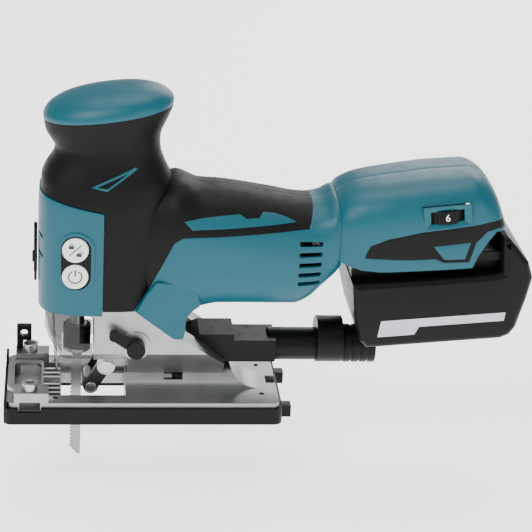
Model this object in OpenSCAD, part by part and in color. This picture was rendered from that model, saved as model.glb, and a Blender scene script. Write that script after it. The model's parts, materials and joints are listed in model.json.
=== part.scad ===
// Barrel-grip battery jigsaw, in millimetres.
// +Z is up, +X runs from the blade to the battery, +Y is the tool's right side.
// The origin is where the blade's axis meets the underside of the sole.

/* [Sole and base] */
// From the blade's axis to the front of the sole
sole_front = 44; // [42:1:54]
// From the blade's axis to the rear of the sole
sole_rear = 126; // [120:1:150]
// Width of the sole cover
sole_w = 71; // [66:1:86]
// Height of the sole cover's side wall
cover_h = 10.5; // [9.5:0.5:11.5]
// Thickness of the sole cover
cover_t = 2; // [1.5:0.1:2.4]
// Height of the base plate's top face
plate_top = 13.5; // [13:0.25:14]
// Radius of the hump that the gear housing tilts on
hump_r = 12.5; // [11.5:0.25:13]
// Wall of the hump
hump_wall = 2.8; // [2.2:0.1:3.4]
// Height of the tilt axis above the work
tilt_z = 15; // [14.5:0.25:15.5]
// Half width of the blade opening
opening_half = 17; // [16:0.5:18]
// Width of the slot for a rip fence bar
fence_slot_w = 12.7; // [10:0.1:13]
// Height of the slot for a rip fence bar
fence_slot_h = 5.4; // [4:0.1:5.6]
// How far the base slides back on the tool
base_slide = 5; // [3:0.5:5]
// Shank diameter of the base bolt
bolt_d = 6; // [5:0.5:7]

/* [Blade drive] */
// Plunger stroke
stroke = 26; // [18:1:26]
// Diameter of the plunger
plunger_d = 9; // [8:0.5:10]
// Width of the saw blade
blade_w = 6.8; // [5:0.2:7]
// Thickness of the saw blade
blade_t = 1.2; // [0.8:0.1:1.4]
// How far the blade hangs below the sole
blade_reach = 39; // [30:1:60]
// Radius of the blade guide roller
roller_r = 5.3; // [4.6:0.1:5.4]
// Height of the crank gear's axis
crank_z = 82; // [81.5:0.25:82.5]
// Height of the motor's axis
motor_z = 107; // [106:0.25:107]
// Tip radius of the pinion
pinion_r = 5.2; // [4:0.1:5.4]
// Diameter of the crank pin
crank_pin_d = 6.4; // [5:0.2:6.4]

/* [Housing] */
// Width of the motor housing
motor_w = 69; // [64:1:78]
// Width of the grip's foot over the gear housing
head_w = 60; // [58:1:70]
// Width of the grip at its waist
waist_w = 44; // [38:1:50]
// Width of the handle cap
cap_w = 54; // [48:1:60]
// Length of the handle cap
cap_len = 77; // [72:1:80]
// Height of the dome on the handle cap
cap_h = 13.5; // [8:0.5:18]
// Width of the rear housing over the battery
rear_w = 73; // [70:1:80]
// Wall thickness of the plastic shells
shell_t = 3; // [2.6:0.1:3.2]
// Thickness of the elastomer grip
grip_t = 1.6; // [1:0.1:2]
// Diameter of the round buttons
button_d = 15.5; // [12:0.5:16]
// Radius of the speed dial
dial_r = 13; // [11:0.5:14]
// Bore of the dust nozzle
nozzle_bore = 21; // [18:0.5:21]

/* [Battery] */
// Length of the battery along its rails
batt_len = 110; // [108:1:124]
// Width of the battery
batt_w = 75; // [72:1:80]
// Depth of the battery below the tool
batt_h = 43; // [42:0.5:44.5]
// Angle of the battery rails, rear end up
batt_tilt = 4.9; // [0:0.1:6]
// Diameter of one cell
cell_d = 18.2; // [17:0.1:18.2]
// Length of one cell
cell_len = 65; // [60:1:66]

/* [Hidden] */
$fn = 64;
// Running clearance of shafts and pins, on the radius
fit = 0.05;
// Clearance between parts that only pass each other
gap = 0.3;

half_sole = sole_w / 2;
half_plate = half_sole - cover_t;
fence_x = -sole_front + 9.4;
fence_z = plate_top - fence_slot_h + 0.5;
recess_z = 9;
open_x0 = -4.3 - base_slide;
open_x1 = 30;
hump_x0 = 30;
hump_x1 = 94.5;
ramp_r = 20;
bolt_x = 62;
channel_r = hump_r - hump_wall;
saddle_t = 1.7;

clamp_z0 = 35;
clamp_z1 = 52;
bush_wall = 1.5;
bush_lo = [66, 76];
bush_hi = [118, 130];
rod_top = 140;
crank_r = stroke / 2;
case_half = 23.5;
cavity_half = 20.5;
cavity = [7.5, 38];
gear_x = [22, 30];
gear_r = motor_z - crank_z - pinion_r - 0.4;
yoke_x = [8, 13];
weight_x = [14.5, 19];
gear_shaft_r = 5;
rotor_shaft_r = 3;
roller_x = blade_w / 2 - 0.2 + gap + roller_r;
roller_z = 14;
pivot = [17.8, 29.8];
lever_y = [8.5, 12];
cam = [35, 49.6];
cam_r = 4;
plate_y = 27;
duct_half = 12;
// The nozzle runs just below the battery
nozzle_z = 82.2 - batt_h;
nozzle_r = nozzle_bore / 2 + 1.5;
nozzle_x = [148, 185];
collar_x = 164;
collar_r = nozzle_r + 2.5;
tube_r = nozzle_bore / 2 - 0.3;

batt_org = [162.6, 0, 94.4];
rail_w = 57;
neck_w = 50;
rail_z = [6, 12.5];
bay_z = 14;
blade_ys = [-13, 13];
dial_u = 57.5;
dial_w = 39;
dial_t = 8;
// The dial stands this far out of the rear housing's side
dial_y = -(rear_w / 2 - dial_r + 0.3);
rotor_x = [92, 126];
fan_x = [132, 141];
button_x = -1.9;
button_zs = [112.5, 95.6];
panel_y = head_w / 2 + 0.4;
hinge_front = [-25.6, 9.5];
guard_half = 18;
guard_wall = 1.5;
// Shell screws have their heads this far from the mid-plane
head_y = 16;

// ---------- shared shapes ----------

// A box given by its two corners
module box(a, b) {
    translate(a) cube(b - a);
}

// A box that is the same on both sides of the mid-plane
module mid_box(x, half, z) {
    box([x[0], -half, z[0]], [x[1], half, z[1]]);
}

// A round bar along X, Y or Z between two places
module bar_x(x, y, z, r) {
    translate([x[0], y, z]) rotate([0, 90, 0]) cylinder(h = x[1] - x[0], r = r);
}

module bar_y(x, y, z, r) {
    translate([x, y[0], z]) rotate([-90, 0, 0]) cylinder(h = y[1] - y[0], r = r);
}

module bar_z(x, y, z, r) {
    translate([x, y, z[0]]) cylinder(h = z[1] - z[0], r = r);
}

// An outline in X and Z, drawn through the tool from one side to the other
module side_profile(points, y) {
    translate([0, y[1], 0]) rotate([90, 0, 0]) linear_extrude(y[1] - y[0]) polygon(points);
}

// An outline in Y and Z, drawn along the tool
module cross_profile(points, x) {
    translate([x[0], 0, 0]) rotate([90, 0, 90]) linear_extrude(x[1] - x[0]) polygon(points);
}

// A flat plate with round corners
module rounded_plate(x, half, z, r) {
    mid_box([x[0] + r, x[1] - r], half, z);
    mid_box(x, half - r, z);
    for (cx = [x[0] + r, x[1] - r], cy = [-half + r, half - r]) bar_z(cx, cy, z, r);
}

// Moves a shape from the battery's frame, whose X runs along the rails, to the tool's frame
module on_rails() {
    translate(batt_org) rotate([0, -batt_tilt, 0]) children();
}

// Mirrors a left-hand shape to the right when side is 1
module on_side(side) {
    if (side > 0) mirror([0, 1, 0]) children();
    else children();
}

function signed_power(v, p) = sign(v) * pow(abs(v), p);

// Points of a superellipse with half sizes a and b
function ring(a, b, e, n = 28) = [for (i = [0:n - 1]) let (t = 360 * (i + 0.5) / n)
    [a * signed_power(cos(t), 2 / e), b * signed_power(sin(t), 2 / e)]];

// A solid skinned over a list of rings of 3-D points
module skin(rings) {
    n = len(rings[0]);
    m = len(rings);
    faces = concat(
        [[for (i = [0:n - 1]) i]],
        [[for (i = [n - 1:-1:0]) (m - 1) * n + i]],
        [for (k = [0:m - 2], i = [0:n - 1]) let (a = k * n + i, b = k * n + (i + 1) % n)
            each [[a, a + n, b + n], [a, b + n, b]]]);
    polyhedron([for (r = rings) each r], faces);
}

// Rings across X: each station is [x, bottom, top, half width, roundness]
function rings_x(st, inset = 0) = [for (k = [0:len(st) - 1]) let (s = st[k],
    x = k < len(st) - 1 ? s[0] : s[0] - inset)
    [for (p = ring(s[3] - inset, (s[2] - s[1]) / 2 - inset, s[4])) [x, p[0], (s[1] + s[2]) / 2 + p[1]]]];

// Rings up the grip: each station is [x, z, half length, half width, tilt, roundness]
function rings_up(st, inset = 0) = [for (s = st)
    [for (p = ring(s[2] - inset, s[3] - inset, s[5]))
        [s[0] + p[0] * cos(s[4]), p[1], s[1] + p[0] * sin(s[4])]]];

// ---------- outer form of the housing ----------

rim_tilt = 9;
rim = [16.8, 190.8];
head_half = head_w / 2;
waist_half = waist_w / 2;
rim_half = cap_w / 2;
rim_len = cap_len / 2;

rim_up = 4;
grip_stations = [
    [14, 60, 37.2, head_half - 1, 0, 3.2],
    [14, 110, 37.4, head_half, 0, 3.2],
    [15, 136, 38.3, head_half - 0.5, 0, 3],
    [16.4, 148, 38.8, head_half - 2.4, 0, 2.8],
    [15.8, 157, 35.4, waist_half + 2.8, 1, 2.5],
    [16.2, 165, 31.8, waist_half + 0.6, 3, 2.3],
    [16.5, 170.5, 31, waist_half, 5, 2.2],
    [16, 176, 32.8, waist_half + 1.2, 7, 2.2],
    [16, 182, 36, waist_half + 3, 8, 2.2],
    [rim[0], rim[1] - 2.3, rim_len - 0.3, rim_half - 0.4, rim_tilt, 2.2],
    [rim[0] - rim_up * sin(rim_tilt), rim[1] + rim_up * cos(rim_tilt), rim_len - 0.2, rim_half - 0.2,
        rim_tilt, 2.2]];

motor_half = motor_w / 2;

motor_stations = [
    [22, 78, 134, head_half - 8, 3],
    [42, 69, 144, head_half - 3, 3],
    [58, 66.5, 150.5, motor_half - 3, 2.8],
    [72, 68.5, 145.5, motor_half - 1.4, 2.6],
    [85, 71.2, 144.7, motor_half - 0.5, 2.5],
    [114, 71.2, 140.5, motor_half, 2.4],
    [130, 71.2, 137.6, motor_half - 0.5, 2.4],
    [138, 75, 137, motor_half - 1.5, 2.5],
    [146, 84, 138, motor_half - 3, 2.8],
    [153, 92, 141, motor_half - 3.4, 3],
    [160, 101, 137, motor_half - 9, 3.2]];

rear_half = rear_w / 2;

// Stations of the rear housing in the battery's frame
rear_stations = [
    [-12, 6, 38, motor_half - 9, 3],
    [-1, -8, 50.5, rear_half - 4, 3.2],
    [10, -13, 53.8, rear_half - 2, 3.5],
    [28, -14, 55.6, rear_half - 0.4, 3.6],
    [58, -14, 57.4, rear_half, 3.6],
    [76, -14, 57.4, rear_half - 0.6, 3.5],
    [84, -13, 53.6, rear_half - 1.4, 3.3],
    [90, -10, 46.5, rear_half - 3.2, 3.2],
    [93.6, -4, 37, rear_half - 6, 3]];

module body_form(inset = 0) {
    skin(rings_up(grip_stations, inset));
    skin(rings_x(motor_stations, inset));
    on_rails() skin(rings_x(rear_stations, inset));
}

// Side outline of the black elastomer area
module grip_area() {
    side_profile([[14.8, 72.4], [33, 72.4], [42.3, 87], [56, 117.8], [61, 121.2], [136, 126.5],
        [141.6, 143.8], [142.5, 165], [80, 215], [-40, 215], [-40, 146], [-14, 141.3], [14.8, 135.3]],
        [-50, 50]);
}

// Side outline of the front cover
module front_area(grow = 0) {
    side_profile([[-40, 69.8 - 20 * grow], [-40, 145.7 + grow], [-14, 141 + grow], [14.5 + grow, 135 + grow],
        [14.5 + grow, 69.8 - 20 * grow]], [-50, 50]);
}

// Side outline of the rear trim, in the battery's frame
module trim_area() {
    side_profile([[8, -2], [8.6, 16], [12, 24], [23, 28.5], [44, 29.5], [84, 32.5], [87, 36], [99, 37],
        [99, -2]],
        [-50, 50]);
}

// One half of space, left of the mid-plane
module left_space() {
    box([-80, -80, -60], [320, 0, 260]);
}

// The battery bay: everything that the battery passes through
module battery_bay() {
    lip_half = neck_w / 2 + gap;
    box([-4, -50, -30], [140, 50, 4.5]);
    mid_box([-3, 140], lip_half, [-30, bay_z]);
    mid_box([-3, 140], rail_w / 2 + gap, [rail_z[0] - gap, bay_z]);
    box([90.6, -50, -30], [140, 50, 26]);
    for (y = blade_ys) box([11, y - 1.5, bay_z - 1], [29, y + 1.5, bay_z + 3]);
}

// ---------- base ----------

module sole_cover() {
    color("#202224") difference() {
        union() {
            rounded_plate([-sole_front, sole_rear], half_sole, [0, cover_h], 5);
            for (s = [-1, 1]) {
                box([-sole_front + 0.4, s * 28.5 - 5, 0], [-sole_front + cover_t, s * 28.5 + 5, 18]);
                box([sole_rear - cover_t, s * 23 - 3.5, 0.8], [sole_rear + 6, s * 23 + 3.5, 8.4]);
            }
        }
        rounded_plate([-sole_front + cover_t, sole_rear - cover_t], half_plate, [cover_t, 30], 4);
        mid_box([open_x0, open_x1], opening_half, [-1, 30]);
        mid_box([-20, open_x1], 2.6, [-1, 30]);
        mid_box([hump_x0 + 6, hump_x1 - 6], channel_r - 1, [-1, 30]);
        mid_box([fence_x - 0.5, fence_x + fence_slot_w + 0.5], 60, [fence_z - 0.5, 30]);
    }
}

module base_plate() {
    x0 = -sole_front + cover_t;
    x1 = sole_rear - cover_t;
    color("#c3c6c8") difference() {
        union() {
            difference() {
                union() {
                    rounded_plate([x0, x1], half_plate, [cover_t, plate_top], 4);
                    rounded_plate([x0, -18], 21, [plate_top - 1, plate_top + 3], 8);
                    for (s = [-1, 1]) box([fence_x - 3, s * (half_plate - 6) - 6, plate_top - 1],
                        [fence_x + fence_slot_w + 5, s * (half_plate - 6) + 6, plate_top + 6.5]);
                    bar_x([hump_x0, hump_x1 + ramp_r], 0, tilt_z, hump_r);
                    mid_box([hump_x0, hump_x1 + ramp_r], hump_r, [plate_top - 2, tilt_z]);
                }
                box([-90, -60, -60], [200, 60, cover_t]);
                mid_box([-20, open_x1], 22.3, [recess_z, 30]);
                rounded_plate([x0 + 4, -21.5], 17, [fence_z, 30], 5);
                // The concave end of the hump
                bar_y(hump_x1 + 19, [-30, 30], plate_top + ramp_r, ramp_r);
                box([hump_x1 + 19, -30, plate_top], [hump_x1 + 60, 30, 60]);
            }
            for (y = [-16.5, -10.5, -5, 5, 10.5, 16.5]) box([-20, y - 1, cover_t], [open_x0 - 0.5, y + 1,
                12.5]);
        }
        mid_box([open_x0, open_x1], opening_half, [-1, 30]);
        mid_box([-20.5, open_x1], 2.6, [-1, 30]);
        mid_box([fence_x, fence_x + fence_slot_w], 60, [fence_z, fence_z + fence_slot_h]);
        bar_x([hump_x0 + 4, hump_x1 - 4], 0, tilt_z, channel_r);
        mid_box([hump_x0 + 4, hump_x1 - 4], channel_r, [-1, tilt_z]);
        // Slot that lets the base bolt slide and tilt
        mid_box([bolt_x - base_slide - bolt_d / 2 - gap, bolt_x + bolt_d / 2 + gap], 20,
            [tilt_z + channel_r * cos(66), 60]);
        for (y = [-20, 20]) bar_z(114, y, [cover_t, 30], 1.6);
        for (y = [-26, 26]) bar_z(-12.7, y, [8, 30], 1.6);
        for (s = [-1, 1]) bar_z(fence_x + fence_slot_w / 2, s * (half_plate - 6),
            [fence_z + fence_slot_h - 1, 60], 2.5);
        mid_box([x1 - 6, x1 + 5], 5, [6, 30]);
    }
}

module fence_screws() {
    color("#b8babc") for (s = [-1, 1]) translate([fence_x + fence_slot_w / 2, s * (half_plate - 6), 0]) {
        difference() {
            union() {
                bar_z(0, 0, [fence_z + fence_slot_h, plate_top + 7], 2.45);
                bar_z(0, 0, [plate_top + 6.5, plate_top + 11.5], 4.6);
            }
            translate([0, 0, plate_top + 8.5]) cylinder(h = 5, d = 5, $fn = 6);
        }
    }
}

// Clip on the right-hand boss that reaches over the fence screw
module wrench_holder() {
    x = [fence_x - 2.6, fence_x + 6.6];
    y = [28.8, half_plate - 0.5];
    boss_top = plate_top + 6.5;
    color("#1b1d1f") difference() {
        union() {
            box([x[0], y[0], boss_top], [x[0] + 4, y[1], boss_top + 16]);
            box([x[0], y[0], boss_top + 6], [x[1], y[1], boss_top + 16]);
        }
        bar_y(x[0] + 4.6, [y[0] - 1, y[1] + 1], boss_top + 11, 2.4);
    }
}

module clamp_saddle() {
    r = channel_r - 0.1;
    color("#8d9194") difference() {
        union() {
            bar_x([bolt_x - 13, bolt_x + 13], 0, tilt_z, r);
            mid_box([bolt_x - 13, bolt_x + 13], r, [tilt_z - 4, tilt_z]);
        }
        bar_x([bolt_x - 14, bolt_x + 14], 0, tilt_z, r - saddle_t);
        mid_box([bolt_x - 14, bolt_x + 14], r - saddle_t, [tilt_z - 30, tilt_z]);
        mid_box([bolt_x - 14, bolt_x + 14], 20, [tilt_z - 30, tilt_z - 4]);
        mid_box([bolt_x - bolt_d / 2 - gap, bolt_x + bolt_d / 2 + gap], 20,
            [tilt_z + (r - saddle_t) * cos(68), 60]);
    }
}

// ---------- gear housing and what is fixed to it ----------

module base_bolt() {
    r = channel_r - 0.1 - saddle_t - 0.1;
    color("#7c8083") {
        difference() {
            bar_x([bolt_x - 7, bolt_x + 7], 0, tilt_z, r);
            box([0, -20, tilt_z - 20], [120, 20, tilt_z + 4]);
            bar_z(bolt_x, 0, [0, 60], bolt_d / 2);
        }
        difference() {
            union() {
                bar_z(bolt_x, 0, [tilt_z, 37], bolt_d / 2);
                bar_z(bolt_x, 0, [tilt_z - 1, tilt_z + 4], bolt_d / 2 + 2);
            }
            translate([bolt_x, 0, tilt_z - 2]) cylinder(h = 4, d = 5.2, $fn = 6);
        }
    }
}

module gear_housing() {
    color("#b4b8ba") difference() {
        union() {
            intersection() {
                cross_profile([[-9.8, 22.9], [-plate_y, 43.5], [-plate_y, 90], [plate_y, 90], [plate_y, 43.5],
                    [9.8, 22.9]], [0, 120]);
                side_profile([[10, 37.5], [10, 72.4], [33.7, 72.4], [57.6, 54.7], [66, 52], [78, 44],
                    [90, 33],
                    [90, 22], [17, 22], [17, 37.5]], [-60, 60]);
            }
            mid_box([cavity[0], cavity[1] - 1], case_half, [60, 122]);
            mid_box([cavity[1] - 2, cavity[1] + 6], case_half - 4.5, [60, 122]);
            mid_box([-9.5, 11], guard_half - guard_wall - gap, bush_lo);
            mid_box([-9.5, 12], 10, bush_hi);
            bar_y(cam[0], [-plate_y - 1.2, -plate_y + 1], cam[1], 9);
        }
        mid_box([cavity[0], gear_x[1] + 1.5], cavity_half, [47, 117]);
        mid_box(cavity, cavity_half - 4.5, [47, 117]);
        mid_box([0, 9.9], 60, [0, 65.9]);
        // Room for the roller's lever in front of the foot
        mid_box([0, 31], 16.6, [0, 37.5]);
        bar_x([0, 120], 0, tilt_z, hump_r + 0.15);
        mid_box([0, 70], 10, [38.5, 44.5]);
        mid_box([66, 120], duct_half, [31.6, 60]);
        bar_z(0, 0, [40, 140], plunger_d / 2 + bush_wall);
        bar_y(cam[0], [-60, 22], cam[1], cam_r + fit);
        bar_x([30, 60], 0, crank_z, 9);
        bar_x([30, 60], 0, motor_z, 9.5);
        bar_z(bolt_x, 0, [0, 37.5], bolt_d / 2);
        bar_y(pivot[0], [-30, 0], pivot[1], 4.8);
    }
}

module lever_bracket() {
    color("#9a9ea1") difference() {
        union() {
            mid_box([12, 28], 16, [36, 37.5]);
            for (s = [-1, 1]) {
                box([12.5, s * 14.5 - 1.5, pivot[1]], [23.5, s * 14.5 + 1.5, 37]);
                bar_y(pivot[0], [s * 14.5 - 1.5, s * 14.5 + 1.5], pivot[1], 5.5);
            }
        }
        bar_y(pivot[0], [-30, 30], pivot[1], 2.5);
    }
    color("#c9cccd") {
        bar_y(pivot[0], [-16, 16], pivot[1], 2.5);
        bar_y(pivot[0], [-16.6, -16], pivot[1], 4.4);
    }
}

module plunger_bushes() {
    r = plunger_d / 2;
    color("#b08d4f") for (z = [bush_lo, bush_hi]) difference() {
        bar_z(0, 0, z, r + bush_wall);
        bar_z(0, 0, z + [-1, 1], r + fit);
    }
}

// A plain ring along X that stands for a ball bearing
module bearing(x, z, r_in, r_out) {
    difference() {
        bar_x(x, 0, z, r_out);
        bar_x(x + [-1, 1], 0, z, r_in + fit);
    }
}

module gear_bearings() {
    color("#9fa3a6") {
        bearing([38, 43.5], crank_z, gear_shaft_r, 9);
        bearing([38, 43.5], motor_z, rotor_shaft_r, 9.5);
    }
}

module rear_bearing() {
    color("#9fa3a6") bearing([145.5, 151], motor_z, rotor_shaft_r, 8);
}

module stator() {
    color("#8a5a33") difference() {
        bar_x(rotor_x, 0, motor_z, 26);
        bar_x(rotor_x + [-1, 1], 0, motor_z, 15.4);
        for (k = [0:5]) translate([0, 0, motor_z]) rotate([60 * k, 0, 0])
            box([rotor_x[0] - 1, -1.4, 14], [rotor_x[1] + 1, 1.4, 21]);
    }
}

// The five cooling slots on one side, each a slot with round ends
module cooling_slots() {
    for (k = [0:4]) let (z = 93.2 + 6.35 * k) hull() for (x = [132.5, 142])
        translate([x, -60, z]) rotate([-90, 0, 0]) cylinder(h = 40, r = 1.4, $fn = 16);
}

// Stadium window of the switch panel, grown by a margin
module panel_window(y, margin = 0) {
    hull() for (z = button_zs) translate([-1.4, y[0], z])
        rotate([-90, 0, 0]) cylinder(h = y[1] - y[0], r = 8.6 + margin, $fn = 32);
}

// Where shell screws stand: X and Z
screw_places = [[60, 76.5], [108, 76], [80, 137.5], [158, 132], [36, 154], [18, 178]];

// Tapered post that a shell screw runs through
module screw_post(p) {
    hull() {
        bar_y(p[0], [-1, 0], p[1], 4.6);
        bar_y(p[0], [-40, -39], p[1], 5.4);
    }
}

module shell_left() {
    shell_half(-1);
}

module shell_right() {
    shell_half(1);
}

module shell_half(side) {
    color("#1d7f92") on_side(side) difference() {
        intersection() {
            union() {
                difference() {
                    body_form();
                    body_form(shell_t);
                    // Opening at the bottom of the head for the gear housing
                    mid_box([-30, 52], head_half - shell_t, [50, 80]);
                    box([-60, -60, 40], [33.5, 60, 72.4]);
                    front_area(0.9);
                    on_rails() battery_bay();
                }
                shell_leg();
                intersection() {
                    for (p = screw_places) screw_post(p);
                    body_form(shell_t - 0.5);
                }
                // Wall that holds the rear bearing
                intersection() {
                    difference() {
                        box([145.5, -40, 70], [151, 0, 150]);
                        bar_x([140, 160], 0, motor_z, 8.08);
                    }
                    body_form(shell_t - 0.5);
                }
                // Block around the battery bay
                intersection() {
                    on_rails() difference() {
                        box([-7, -40, 5.2], [89, 0, bay_z + 1.8]);
                        battery_bay();
                    }
                    body_form(shell_t - 0.5);
                }
            }
            left_space();
        }
        intersection() {
            grip_area();
            difference() {
                body_form(-2);
                body_form(grip_t);
            }
        }
        on_rails() intersection() {
            trim_area();
            difference() {
                skin(rings_x(rear_stations, -2));
                skin(rings_x(rear_stations, grip_t));
            }
        }
        cooling_slots();
        if (side < 0) on_rails() hull() for (u = [-10, 10]) box([dial_u + u - 0.6, -50,
            dial_w - dial_t / 2 - 0.5],
            [dial_u + u + 0.6, dial_y + 1, dial_w + dial_t / 2 + 0.5]);
        if (side < 0) on_rails() translate([dial_u, dial_y, dial_w - dial_t / 2 - 0.5])
            cylinder(h = dial_t + 1, r = dial_r + 0.5);
        for (p = screw_places) bar_y(p[0], [-17, 1], p[1], 1.6);
        if (side > 0) for (p = screw_places) bar_y(p[0], [-80, -head_y], p[1], 3.6);
        nest_cap();
    }
}

// Leg that hangs over the side of the gear housing and blends into the motor housing
module shell_leg() {
    out = plate_y + 3.4;
    difference() {
        intersection() {
            side_profile([[33.7, 72.4], [57.6, 54.8], [62.7, 54.8], [64.8, 58.7], [71.9, 67.5], [82, 74],
                [82, 95], [33.7, 95]], [-60, -20]);
            cross_profile([[-out, 40], [-out, 80], [-out + 4, 94], [-20, 94], [-20, 72.4],
                [-plate_y - gap, 72.4],
                [-plate_y - gap, 40]], [0, 120]);
        }
        body_form(shell_t);
    }
}

// The cap's seat cuts the top of the grip flat
module nest_cap() {
    translate([rim[0], 0, rim[1]]) rotate([0, -rim_tilt, 0]) box([-60, -60, 0], [60, 60, 60]);
}

module grip_left() {
    grip_half(-1);
}

module grip_right() {
    grip_half(1);
}

module grip_half(side) {
    color("#1c1d1f") on_side(side) difference() {
        intersection() {
            difference() {
                body_form();
                body_form(grip_t);
            }
            grip_area();
            left_space();
        }
        nest_cap();
        cooling_slots();
        for (k = [0:2]) hull() for (e = [0, 1]) translate([44 + 14 * e, -60, 100 + 12 * k + 6 * e])
            rotate([-90, 0, 0]) cylinder(h = 31.5 - 4 + 4 * e, r = 0.4, $fn = 8);
        if (side > 0) for (p = screw_places) bar_y(p[0], [-80, 0.2 - head_y], p[1], 3.6);
    }
}

// Stations of the cap above its rim: [height share, length share, width share]
cap_rings = [[0, 1], [0.16, 1.0], [0.34, 0.965], [0.52, 0.9], [0.7, 0.78], [0.85, 0.6], [0.96, 0.34], [1,
    0.12]];

module handle_cap() {
    color("#1d7f92") translate([rim[0], 0, rim[1]]) rotate([0, -rim_tilt, 0])
        skin([for (s = cap_rings) [for (p = ring(rim_len * s[1], rim_half * s[1], 2.2)) [p[0], p[1],
            cap_h * s[0]]]]);
}

module front_cover() {
    color("#1d7f92") difference() {
        union() {
            intersection() {
                skin(rings_up(grip_stations, -0.6));
                front_area();
            }
            // Lugs that hold the release lever's pin
            for (z = [80.5, 112.5]) box([hinge_front[0] - 1.9, hinge_front[1] - 2, z],
                [-22, hinge_front[1] + 2, z + 3]);
        }
        bar_z(hinge_front[0], hinge_front[1], [81.5, 114.5], 1.1 + fit);
        skin(rings_up(grip_stations, 2));
        for (s = [-1, 1]) on_side(s) panel_window([-60, -20]);
        for (s = [-1, 1], k = [0:1]) on_side(s) hull() for (e = [0, 1])
            translate([-20.5, -40, 118 - 14 * k - 7 * e]) rotate([-90, 0, 0]) cylinder(h = 24, r = 1,
                $fn = 12);
    }
}

module switch_panel(side) {
    color("#17181a") on_side(side) difference() {
        panel_window([-panel_y, -20.5], -0.15);
        for (z = button_zs) bar_y(button_x, [-60, 0], z, button_d / 2 + 0.1);
        difference() {
            skin(rings_up(grip_stations, 4.5));
            panel_window([-16, 0], 4);
        }
    }
}

module switch_panel_left() {
    switch_panel(-1);
}

module switch_panel_right() {
    switch_panel(1);
}

module round_button(side, z) {
    color("#e9eaea") on_side(side) bar_y(button_x, [-panel_y - 0.5, -panel_y + 4.5], z, button_d / 2);
}

module lock_button_left() {
    round_button(-1, button_zs[0]);
}

module power_button_left() {
    round_button(-1, button_zs[1]);
}

module lock_button_right() {
    round_button(1, button_zs[0]);
}

module power_button_right() {
    round_button(1, button_zs[1]);
}

module rear_trim(side) {
    color("#1c1d1f") on_side(side) on_rails() intersection() {
        difference() {
            skin(rings_x(rear_stations, 0));
            skin(rings_x(rear_stations, grip_t));
            battery_bay();
        }
        trim_area();
        box([-20, -60, -20], [120, 0, 80]);
    }
}

module rear_trim_left() {
    rear_trim(-1);
}

module rear_trim_right() {
    rear_trim(1);
}

module shell_screws() {
    color("#3a3c3e") for (p = screw_places) {
        bar_y(p[0], [-12, head_y + 1], p[1], 1.5);
        difference() {
            bar_y(p[0], [head_y + 0.2, head_y + 3], p[1], 3.4);
            bar_y(p[0], [head_y + 1.8, head_y + 4], p[1], 1.5);
        }
    }
}

module wire_guard() {
    path = [[-12, 20], [-15.3, 62], [-12, 69.5], [-9.5, 69.5]];
    lap = [0, 0.5, 0.6];
    color("#a9acae") for (k = [0:2]) let (a = path[k], b = path[k + 1], d = b - a)
        translate([a[0], 0, a[1]]) rotate([0, 90 - atan2(d[1], d[0]), 0])
            translate([0, 0, -lap[k]]) cylinder(h = norm(d) + lap[k], r = 1);
}

module lamp() {
    color("#f4f6e8") bar_z(-12.6, -20.5, [68.6, 75.5], 2);
}

module dust_duct() {
    color("#1b1d1f") difference() {
        union() {
            mid_box([66, 122], duct_half, [31.6, 46]);
            bar_x([118, nozzle_x[0] + 4], 0, nozzle_z - 0.5, tube_r);
            mid_box([66, 96], duct_half, [33, 50]);
        }
        mid_box([60, 121], duct_half - 2.6, [34.4, 44]);
        bar_x([117, 160], 0, nozzle_z - 0.5, tube_r - 1.6);
        side_profile([[60, 51], [60, 46], [66, 46], [96, 60], [96, 70]], [-20, 20]);
    }
}

module dust_nozzle() {
    pitch = 5.25;
    color("#1b1d1f") difference() {
        union() {
            bar_x([nozzle_x[0], collar_x], 0, nozzle_z + 3, collar_r);
            bar_x(nozzle_x, 0, nozzle_z, nozzle_r - 0.7);
            for (k = [0:3]) let (x = collar_x + pitch * (k + 0.33)) bar_x([x, x + 3.4], 0, nozzle_z,
                nozzle_r);
        }
        bar_x([nozzle_x[0] - 1, nozzle_x[0] + 5], 0, nozzle_z - 0.5, tube_r + fit);
        bar_x([nozzle_x[0] + 4, nozzle_x[1] + 1], 0, nozzle_z, nozzle_bore / 2);
    }
}

module controller_board() {
    color("#2e6b3c") on_rails() {
        box([4, -24, 24], [44, 24, 26]);
        box([10, -12, 26], [24, 12, 34]);
        bar_z(34, 6, [26, 38], 6);
    }
}

module terminal_block() {
    color("#c9a227") on_rails() {
        box([8, -20, bay_z + 1.8], [38, 20, bay_z + 5]);
        for (y = blade_ys) box([12, y - 0.5, 8], [28, y + 0.5, bay_z + 2]);
    }
}

// ---------- moving parts of the drive ----------

module plunger() {
    z_slot = [crank_z - crank_pin_d / 2 - 0.4, crank_z + crank_pin_d / 2 + 0.4];
    color("#9ea2a5") difference() {
        union() {
            bar_z(0, 0, [clamp_z1, rod_top], plunger_d / 2);
            mid_box([-5, yoke_x[1]], 6, [95, 103]);
            mid_box(yoke_x, 8, [85, 103]);
            mid_box(yoke_x, crank_r + crank_pin_d / 2 + 3.3, z_slot + [-3.4, 3.4]);
        }
        mid_box(yoke_x + [-1, 1], crank_r + crank_pin_d / 2 + 0.3, z_slot);
    }
}

module blade_clamp() {
    color("#6f7376") difference() {
        union() {
            bar_z(0, 0, [clamp_z0, clamp_z1], 6.5);
            bar_z(0, 0, [clamp_z0, clamp_z0 + 2.5], 8.4);
        }
        box([-4.3, -blade_t / 2 - 0.01, clamp_z0 - 1], [4.3, blade_t / 2 + 0.01, clamp_z1 - 2]);
    }
}

module clamp_collar() {
    color("#2a2c2e") difference() {
        bar_z(0, 0, [clamp_z0 + 2.8, clamp_z1 - 0.5], 8.4);
        bar_z(0, 0, [0, 90], 6.5 + fit);
    }
}

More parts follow.
